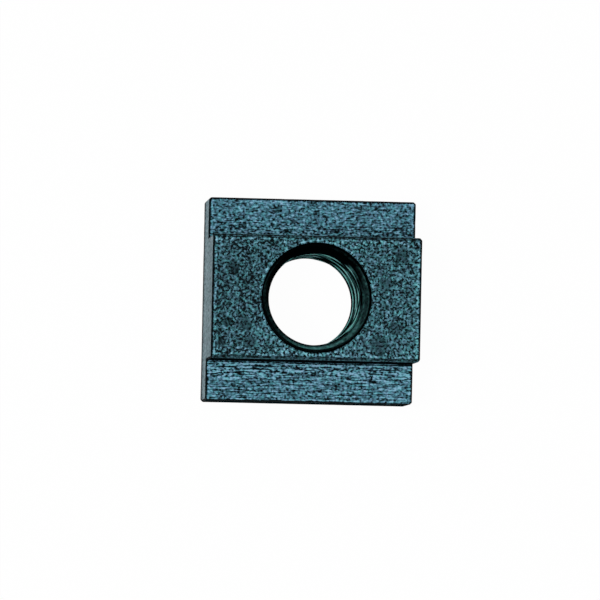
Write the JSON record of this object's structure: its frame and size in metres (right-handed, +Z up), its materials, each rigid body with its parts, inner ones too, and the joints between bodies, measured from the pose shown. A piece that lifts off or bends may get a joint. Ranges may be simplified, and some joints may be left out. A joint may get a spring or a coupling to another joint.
{
  "type": "t slot nut",
  "caption": "Blackened steel block of inverted T section with a tapped through hole; slides in a T slot and takes a clamping stud.",
  "frame": {"origin": "middle of the base's underside, on the axis of the tapped hole", "axes": "+X along the slot that the nut slides in, +Y across the slot, +Z up the tapped hole and out of the neck"},
  "size_m": [0.023, 0.0226, 0.016],
  "materials": {
    "blackened_steel": "heat-treated and blackened, blue-green black, satin, with fine machining marks"
  },
  "bodies": {
    "root": {"t_slot_nut": "blackened_steel"}
  },
  "joints": []
}
